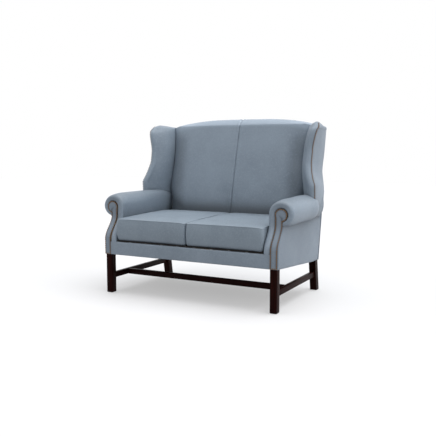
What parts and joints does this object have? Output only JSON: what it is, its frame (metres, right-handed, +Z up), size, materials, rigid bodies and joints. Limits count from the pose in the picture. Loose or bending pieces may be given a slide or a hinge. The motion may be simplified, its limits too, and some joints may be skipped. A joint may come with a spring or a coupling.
{
  "type": "high back settee",
  "caption": "High back settee with wings and scroll arms in leather, loose seat cushions, rows of nails and square wooden legs joined by stretchers.",
  "frame": {"origin": "on the floor, under the middle of the overall width and depth", "axes": "+Z up; the front of the seat faces -Y; +X is toward the right arm as one faces the settee from the front"},
  "size_m": [1.316, 0.8655, 1.127],
  "materials": {
    "leather": "satin pull-up leather, blue grey",
    "leather_side": "satin pull-up leather, blue grey",
    "cushion_leather": "satin pull-up leather, blue grey",
    "mahogany": "dark mahogany stain, satin lacquer",
    "beech": "planed, unfinished",
    "bronze": "antique bronze, burnished",
    "steel": "zinc plated",
    "lining": "matt woven lining",
    "webbing": "matt jute webbing",
    "foam": "matt open foam"
  },
  "bodies": {
    "settee_frame": {"front_leg_left": "mahogany", "front_leg_right": "mahogany", "back_post_left": "mahogany", "back_post_right": "mahogany", "side_stretcher_left": "mahogany", "side_stretcher_right": "mahogany", "cross_stretcher": "mahogany", "foot_glides": "steel", "front_seat_rail": "beech", "side_seat_rail_left": "beech", "side_seat_rail_right": "beech", "rear_seat_rail": "beech", "seat_brace": "beech", "corner_blocks": "beech", "arm_front_post_left": "beech", "arm_front_post_right": "beech", "arm_pole_left": "beech", "arm_pole_right": "beech", "wing_board_left": "beech", "wing_board_right": "beech", "back_top_rail": "beech", "back_lower_rail": "beech", "back_stile": "beech", "seat_springs": "steel", "spring_clips": "steel", "seat_deck": "lining", "dust_cover": "lining", "back_webbing": "webbing", "arm_webbing": "webbing", "front_border": "leather", "inside_back": "leather", "inside_wing_left": "leather", "inside_wing_right": "leather", "inside_arm_left": "leather", "inside_arm_right": "leather", "arm_facing_left": "leather_side", "arm_facing_right": "leather_side", "outside_arm_left": "leather_side", "outside_arm_right": "leather_side", "outside_wing_left": "leather_side", "outside_wing_right": "leather_side", "outside_back": "leather_side", "arm_nails_left": "bronze", "arm_nails_right": "bronze", "wing_nails_left": "bronze", "wing_nails_right": "bronze"},
    "left_seat_cushion": {"cushion_cover_left": "cushion_leather", "cushion_core_left": "foam"},
    "right_seat_cushion": {"cushion_cover_right": "cushion_leather", "cushion_core_right": "foam"}
  },
  "joints": [
    {"name": "left_cushion_lift", "type": "slide", "parent": "settee_frame", "child": "left_seat_cushion", "axis": [0, 0, 1], "range_m": [0, 0.3]},
    {"name": "right_cushion_lift", "type": "slide", "parent": "settee_frame", "child": "right_seat_cushion", "axis": [0, 0, 1], "range_m": [0, 0.3]}
  ]
}
